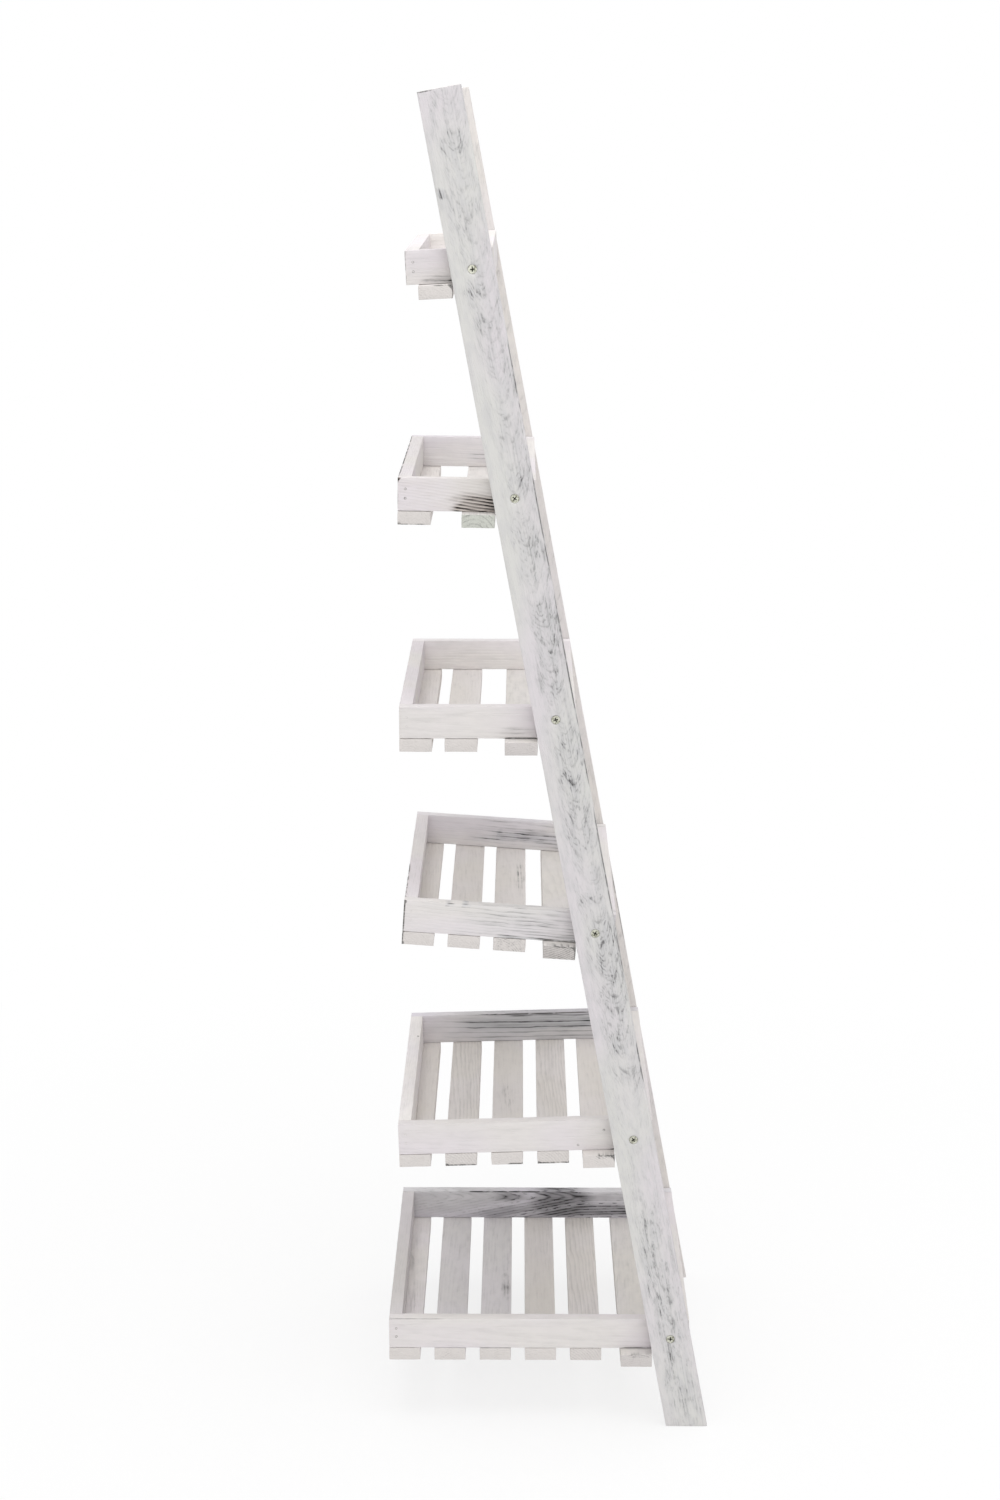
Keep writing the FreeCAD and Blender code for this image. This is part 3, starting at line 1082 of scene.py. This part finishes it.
@dataclass
class Rail:
    """One leaning rail: level foot, square head and a screw seat at every pivot."""

    side: int  # -1 for the left rail, 1 for the right one
    stock: Stock
    bench: Bench
    cuts: Iterable[tuple[int, int]] = ((0, 17), (0, 17), (1, 11), (2, 2))  # axis and cuts of each division
    seat_mouth: float = 0.00605  # radius of a countersink at the rail's face
    seat_hole: float = 0.00258  # radius of the running hole
    seat_past: float = 0.004  # how far the cutter stands out of the rail
    seat_sides: int = 40  # facets round the cutter
    seat_dark: float = 1.2  # where the dirt and painted shade in a seat begin, in radii of the hole
    seat_dirt_and_shade: float = 6.0  # arris mark of the dirt and painted shade there, shown as dark bare wood

    def name(self) -> str:
        """Name of the rail's solid."""
        return "left_rail" if self.side < 0 else "right_rail"

    def foot(self) -> float:
        """Lowest corner of the foot along the rail, from the lowest pivot."""
        stock = self.stock
        return -(stock.pivot_rise + stock.rail_width / 2 * math.sin(stock.lean)) / math.cos(stock.lean)

    def blank(self) -> Piece:
        """Saw the rail with its level foot, divide it and ease it.

        Returns:
            The rail on the bench, with the lowest pivot at the origin.
        """
        stock = self.stock
        head, foot = stock.head(), self.foot()
        piece = self.bench.cut((head - foot, stock.rail_width, stock.rail_thick))
        carry(piece, Matrix.Translation(((head + foot) / 2, 0.0, 0.0)))
        pick(piece, Kind.FACES, lambda centre, normal: True)
        bpy.ops.mesh.bisect(plane_co=(-stock.pivot_rise / math.cos(stock.lean), 0.0, 0.0),
                            plane_no=(math.cos(stock.lean), math.sin(stock.lean), 0.0),
                            use_fill=True, clear_inner=True)
        bpy.ops.object.mode_set(mode="OBJECT")
        for axis, cuts in self.cuts:
            self.bench.divide(piece, axis, cuts)
        self.bench.soften(piece)
        return piece

    def cutter(self) -> Piece:
        """Shape the countersinks and running holes of all the pivots.

        Returns:
            The cutter on the bench.
        """
        stock = self.stock
        height = self.seat_mouth - self.seat_hole + self.seat_past
        bpy.ops.object.select_all(action="DESELECT")
        bpy.ops.mesh.primitive_cone_add(vertices=self.seat_sides, radius1=self.seat_hole,
                                        radius2=self.seat_mouth + self.seat_past, depth=height)
        first = bpy.context.object
        carry(first, Matrix.Translation((0.0, 0.0, stock.rail_thick / 2 + self.seat_past - height / 2)))
        pick(first, Kind.FACES, lambda centre, normal: normal.z < -FACING)
        bpy.ops.mesh.extrude_region_move(TRANSFORM_OT_translate={"value": (0.0, 0.0, -stock.rail_thick)})
        bpy.ops.object.mode_set(mode="OBJECT")
        if self.side < 0:
            carry(first, Matrix.Rotation(math.pi, 4, "X"))
        seats = [first] + [copy_of(first, "seat") for _ in range(stock.levels - 1)]
        for level, seat in enumerate(seats):
            carry(seat, Matrix.Translation((stock.pivot_pitch * level, 0.0, 0.0)))
        activate(*seats)
        bpy.ops.object.join()
        return first

    def bore(self, piece: Piece) -> None:
        """Cut the screw seats.

        Args:
            piece: The rail on the bench.
        """
        cutter = self.cutter()
        activate(piece)
        modifier = piece.modifiers.new("seats", "BOOLEAN")
        modifier.object = cutter
        modifier.operation = "DIFFERENCE"
        modifier.solver = "EXACT"
        bpy.ops.object.modifier_apply(modifier="seats")
        bpy.data.objects.remove(cutter)

    def near_arris(self, point: Vector) -> float:
        """Say whether a point lies on an arris of the rail or down in a screw seat.

        Args:
            point: A point of the rail on the bench.

        Returns:
            1 on an arris, 0 away from it and more down in a screw seat.
        """
        stock = self.stock
        level = min(max(round(point.x / stock.pivot_pitch), 0), stock.levels - 1)
        # Dirt and painted shade: down in a screw seat the mark is high, so the countersink shows dark bare
        # wood
        if math.hypot(point.x - level * stock.pivot_pitch, point.y) < self.seat_hole * self.seat_dark:
            return self.seat_dirt_and_shade
        return self.bench.on_arris((stock.rail_width / 2 - abs(point.y), stock.rail_thick / 2 - abs(point.z),
                                    stock.head() - point.x))

    def build(self) -> None:
        """Make the rail and put it in its place."""
        stock = self.stock
        look = LOOKS[self.name()]
        piece = self.blank()
        piece.name = piece.data.name = self.name() + "_timber"
        self.bore(piece)
        self.bench.mark(piece, look, self.near_arris)
        up, aside = stock.along_rail(), Vector((1, 0, 0))
        middle = stock.pivot(stock.levels) + aside * (self.side * (stock.half_width() - stock.rail_thick / 2))
        carry(piece, lain((up, aside.cross(up), aside), middle))
        self.bench.weather(piece)
        dress(piece, self.name(), "rails", look.finish)


@dataclass
class Nail:
    """Small round nail head with a shallow dish, and where such nails are driven."""

    radius: float = 0.0015
    depth: float = 0.0012
    sides: int = 14  # facets round it
    rim: float = 0.28  # width of its flat rim, as a share of the radius
    slope: float = 0.3  # width of the slope into the dish, as a share of the radius
    dish: float = 0.0002  # depth of the dish
    smooth: float = math.radians(50)  # angle up to which its faces are shaded as one
    rises: tuple[float, float] = (-0.0045, 0.0062)  # corner nails above the middle of a board
    stagger: float = 0.001  # how far the corner nails of the two sides are out of line
    slat_shares: tuple[float, float] = (0.27, 0.74)  # slat nails, in slat widths ahead of its rear edge
    pin_share: float = 0.8  # pins in a rear board's top ahead of its rear face, as a share of its thickness

    def model(self) -> Piece:
        """Model one head with its top at the origin, facing +Z.

        Returns:
            The nail head.
        """
        bpy.ops.object.select_all(action="DESELECT")
        bpy.ops.mesh.primitive_cylinder_add(vertices=self.sides, radius=self.radius, depth=self.depth)
        piece = bpy.context.object
        carry(piece, Matrix.Translation((0, 0, -self.depth / 2)))
        pick(piece, Kind.FACES, lambda centre, normal: normal.z > FACING)
        bpy.ops.mesh.inset(thickness=self.radius * self.rim)
        bpy.ops.mesh.inset(thickness=self.radius * self.slope)
        bpy.ops.transform.translate(value=(0, 0, -self.dish))
        bpy.ops.object.mode_set(mode="OBJECT")
        bpy.ops.object.shade_smooth_by_angle(angle=self.smooth)
        return piece


@dataclass
class Tray:
    """One open tray: four boards round a floor of slats, the foremost slat running on behind both rails."""

    number: int  # the tray, 1 at the top
    slats: int
    rear: float  # its rear face behind the pivot
    drop: float  # the pivot below its top edge
    lead: float  # gap behind the stop slat over the other gaps
    seat: float  # how far its rear is seated above level, in degrees
    stock: Stock
    bench: Bench
    nail: Nail
    daubed: bool = True  # whether its corner nails are daubed with paint
    pins: tuple[tuple[float, float], ...] = ()  # odd nails in the left end board, along and above its middle
    rear_pins: tuple[float, ...] = ()  # odd nails in the top of the rear board, from the middle of the shelf

    def body(self) -> str:
        """Name of the tray's body."""
        return "tray_%d" % self.number

    def place(self) -> Matrix:
        """Place of the tray: turned to its seat about its pivot."""
        turn = Matrix.Rotation(math.radians(self.seat), 4, "X")
        return Matrix.Translation(self.stock.pivot(self.number)) @ turn

    def middle(self) -> float:
        """Middle of the end boards behind the pivot."""
        return (self.rear - self.stock.front_reach) / 2

    def level(self) -> float:
        """Middle of the boards' height above the pivot."""
        return self.drop - self.stock.board_height / 2

    def end_middle(self) -> float:
        """Middle of an end board's thickness from the middle of the shelf."""
        return (self.stock.tray_width - self.stock.board_thick) / 2

    def stop_edge(self) -> float:
        """Find the front edge of the stop slat, which meets the leaning rail.

        Returns:
            Its distance behind the pivot.
        """
        stock = self.stock
        angle = stock.lean + math.radians(self.seat)
        below = stock.board_height - self.drop + stock.solid_ease
        return (stock.rail_width / 2 + stock.stop_gap - below * math.sin(angle)) / math.cos(angle)

    def slat_rears(self) -> list[float]:
        """Find the rear edges of the slats.

        Returns:
            Distances behind the pivot, from the rear slat to the stop slat.
        """
        width = self.stock.slat_width
        floor = self.rear - self.stop_edge() - self.slats * width
        gap = floor / sum([1.0] * (self.slats - 2) + [self.lead])
        return [self.rear - n * (width + gap) for n in range(self.slats - 1)] + [self.stop_edge() + width]

    def add(self, part: str, size: Triple, lay: Lay, centre: Triple) -> None:
        """Make one board of the tray and put it in its place.

        Args:
            part: The board's name in the tray.
            size: Length, width and thickness.
            lay: How it lies.
            centre: Its middle, from the pivot.
        """
        node = "%s_%s" % (self.body(), part)
        look = LOOKS.get(node, Look(SLAT_WASH if lay is Lay.FLAT else END_WASH))
        piece = self.bench.board(node + "_timber", size)

        def near_arris(point: Vector) -> float:
            """Say whether a point lies on an arris of this board."""
            return self.bench.on_arris(s / 2 - abs(p) for s, p in zip(size, point))

        self.bench.mark(piece, look, near_arris)
        carry(piece, self.place() @ lain(lay.value, centre))
        self.bench.weather(piece)
        dress(piece, node, self.body(), look.finish)

    def nail_spots(self) -> list[tuple[Triple, Triple, Zinc]]:
        """Set out two nails at each corner of the frame and at each end of each slat, and the odd ones.

        Returns:
            Each head's place from the pivot, the way that it faces and its finish.
        """
        stock, nail = self.stock, self.nail
        level = self.level()
        under = self.drop - stock.board_height - stock.slat_thick
        pin_row = self.rear - stock.board_thick * nail.pin_share
        corner = DAUBED_NAIL if self.daubed else NAIL_ZINC
        spots: list[tuple[Triple, Triple, Zinc]] = []
        for side in (-1, 1):
            out = (side, 0, 0)
            flank = side * stock.tray_width / 2
            for along in (self.rear - stock.board_thick / 2, stock.board_thick / 2 - stock.front_reach):
                spots += [((flank, along + nail.stagger * side, level + rise), out, corner)
                          for rise in nail.rises]
            if side < 0:
                spots += [((flank, self.middle() + a, level + c), out, NAIL_ZINC) for a, c in self.pins]
                spots += [((x, pin_row, self.drop), (0, 0, 1), NAIL_ZINC) for x in self.rear_pins]
            bed = side * self.end_middle()
            spots += [((bed, rear - stock.slat_width * share, under), (0, 0, -1), NAIL_ZINC)
                      for rear in self.slat_rears() for share in nail.slat_shares]
        return spots

    def add_nails(self) -> None:
        """Drive the tray's nails."""
        spots = self.nail_spots()
        first = self.nail.model()
        first.name = first.data.name = self.body() + "_nails"
        heads = [first] + [copy_of(first, "nail") for _ in spots[1:]]
        for head, (spot, out, finish) in zip(heads, spots):
            finish.coat(head)
            turn = Vector(out).to_track_quat("Z", "Y").to_matrix().to_4x4()
            carry(head, self.place() @ Matrix.Translation(spot) @ turn)
        activate(*heads)
        bpy.ops.object.join()
        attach(first, self.body())
        log.info("%s: %d heads", first.name, len(spots))

    def build(self, nodes: dict[str, Piece]) -> None:
        """Make the tray's boards and nails, and plate its pivot screws.

        Args:
            nodes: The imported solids.
        """
        stock = self.stock
        section = (stock.board_height, stock.board_thick)
        for part, side in (("left_end", -1), ("right_end", 1)):
            self.add(part, (self.rear + stock.front_reach, *section), Lay.END,
                     (side * self.end_middle(), self.middle(), self.level()))
        inside = stock.tray_width - 2 * stock.board_thick
        fronts = {"front_board": -stock.front_reach, "rear_board": self.rear - stock.board_thick}
        for part, front in fronts.items():
            self.add(part, (inside, *section), Lay.CROSS, (0.0, front + stock.board_thick / 2, self.level()))
        floor = self.drop - stock.board_height - stock.slat_thick / 2
        for n, rear in enumerate(self.slat_rears(), 1):
            stop = n == self.slats
            length = 2 * stock.half_width() if stop else stock.tray_width
            self.add("stop_slat" if stop else "slat_%d" % n, (length, stock.slat_width, stock.slat_thick),
                     Lay.FLAT, (0.0, rear - stock.slat_width / 2, floor))
        self.add_nails()
        screws = nodes[self.body() + "_pivot_screws"]
        SCREW_ZINC.coat(screws)
        log.info("%s: kept, %s", screws.name, SCREW_ZINC.name)


@dataclass
class Studio:
    """White floor and backdrop, soft light and the camera."""

    eye: Triple = (-3.3849, 0.0353, 1.5727)  # place of the camera
    pitch: float = math.radians(12.93)  # how far it looks down
    turn: float = math.radians(0.428)  # how far it is turned towards the wall
    lens: float = 67.12  # its focal length in millimetres
    sensor: float = 36.0  # long side of its sensor in millimetres
    floor_size: float = 14.0  # side of the floor
    floor_grey: float = 0.9  # how much light the floor gives back
    floor_shadow: float = 0.25  # strength of the shadow on it
    shadow_core: float = 0.425  # distance up to which the shadow has that strength
    shadow_reach: float = 1.7  # distance at which it has gone
    ambient: float = 0.74  # light from all round
    key_power: float = 0.48  # strength of the key lamp
    key_spread: float = math.radians(50)  # angle that its light comes from
    key_gaze: Triple = (1.0, 0.2, -0.35)  # direction that it shines in
    top_power: float = 56.0  # watts of the top lamp
    top_size: float = 3.0  # its side
    top_place: Triple = (-0.5, -0.1, 3.6)
    top_aim: Triple = (0.0, 0.0, 0.8)  # what it is turned to

    def put(self, data: bpy.types.Camera | bpy.types.Light, place: Triple, gaze: Vector) -> Piece:
        """Put the camera or a lamp in its place.

        Args:
            data: The camera or the lamp.
            place: Where it goes.
            gaze: The direction that it looks or shines in.

        Returns:
            Its object.
        """
        thing = bpy.data.objects.new(data.name, data)
        bpy.context.scene.collection.objects.link(thing)
        thing.location = place
        thing.rotation_euler = gaze.to_track_quat("-Z", "Y").to_euler()
        return thing

    def camera(self) -> None:
        """Set up the camera at the photograph's place."""
        data = bpy.data.cameras.new("camera")
        data.lens = self.lens
        data.sensor_width = self.sensor
        data.sensor_fit = "AUTO"
        flat = math.cos(self.pitch)
        gaze = Vector((flat * math.cos(self.turn), flat * math.sin(self.turn), -math.sin(self.pitch)))
        bpy.context.scene.camera = self.put(data, self.eye, gaze)

    def seen(self, sheet: NodeSheet) -> Socket:
        """Tell the rays that should meet plain white from those that light the shelf.

        Args:
            sheet: The node sheet of the floor or the world.

        Returns:
            1 for camera, glossy and transmission rays.
        """
        rays = sheet.add("LightPath", {}).outputs
        shiny = sheet.math("MAXIMUM", rays["Is Camera Ray"], rays["Is Glossy Ray"])
        return sheet.math("MAXIMUM", shiny, rays["Is Transmission Ray"])

    def floor(self) -> None:
        """Lay a white floor that keeps a light shadow of the shelf."""
        bpy.ops.object.select_all(action="DESELECT")
        bpy.ops.mesh.primitive_plane_add(size=self.floor_size)
        floor = bpy.context.object
        floor.name = "studio_floor"
        sheet = NodeSheet(bpy.data.materials.new("studio_floor"))
        fade = sheet.spread(sheet.vector("LENGTH", sheet.place()), self.shadow_core, self.shadow_reach)
        bright = sheet.math("MULTIPLY_ADD", fade, self.floor_shadow, 1.0 - self.floor_shadow)
        matt = sheet.add("BsdfDiffuse", {"Color": (self.floor_grey, self.floor_grey, self.floor_grey, 1.0)})
        white = sheet.add("Emission", {})
        share = sheet.math("MULTIPLY", self.seen(sheet), bright)
        mixed = sheet.add("MixShader", {0: share, 1: matt.outputs[0], 2: white.outputs[0]})
        floor.data.materials.append(sheet.close("OutputMaterial", mixed))

    def world(self) -> None:
        """Set a white backdrop and an even light from all round."""
        sheet = NodeSheet(bpy.data.worlds.new("studio"))
        strength = sheet.math("MULTIPLY_ADD", self.seen(sheet), 1.0 - self.ambient, self.ambient)
        backdrop = sheet.add("Background", {"Color": (1.0, 1.0, 1.0, 1.0), "Strength": strength})
        bpy.context.scene.world = sheet.close("OutputWorld", backdrop)

    def key(self) -> None:
        """Light the shelf evenly from over the camera with one wide soft lamp."""
        data = bpy.data.lights.new("key", "SUN")
        data.energy = self.key_power
        data.angle = self.key_spread
        self.put(data, (0.0, 0.0, 0.0), Vector(self.key_gaze))

    def top(self) -> None:
        """Hang a soft square lamp over the shelf."""
        data = bpy.data.lights.new("top", "AREA")
        data.shape = "SQUARE"
        data.size = self.top_size
        data.energy = self.top_power
        self.put(data, self.top_place, Vector(self.top_aim) - Vector(self.top_place))

    def build(self) -> None:
        """Set up the whole studio."""
        bpy.context.scene.view_settings.view_transform = "Standard"
        self.floor()
        self.world()
        self.key()
        self.top()
        self.camera()


def main() -> None:
    """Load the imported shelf, dress it rail by rail and tray by tray, and set up the studio."""
    logging.basicConfig(level=logging.INFO, format="%(name)s: %(message)s")
    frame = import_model()
    bench = Bench()
    nail = Nail()
    for side in (-1, 1):
        Rail(side, STOCK, bench).build()
    # Number, slats, rear, drop, lead and seat of each tray
    trays = (
        Tray(1, 1, 0.0755, 0.0235, 1.0, -3.0, STOCK, bench, nail, daubed=False),
        Tray(2, 2, 0.134, 0.020, 1.0, 0.8, STOCK, bench, nail, daubed=False),
        Tray(3, 3, 0.182, 0.012, 2.2, 0.0, STOCK, bench, nail),
        Tray(4, 4, 0.227, 0.020, 1.3, 3.9, STOCK, bench, nail),
        Tray(5, 5, 0.282, 0.020, 0.95, -1.7, STOCK, bench, nail,
             pins=((-0.0944, 0.006), (-0.0628, -0.0122)), rear_pins=(0.1145,)),
        Tray(6, 6, STOCK.low_rear, 0.018, 1.35, 0.0, STOCK, bench, nail, daubed=False),
    )
    for tray in trays:
        tray.build(frame["nodes"])
    bench.clear()
    Studio().build()


if __name__ == "__main__":
    main()
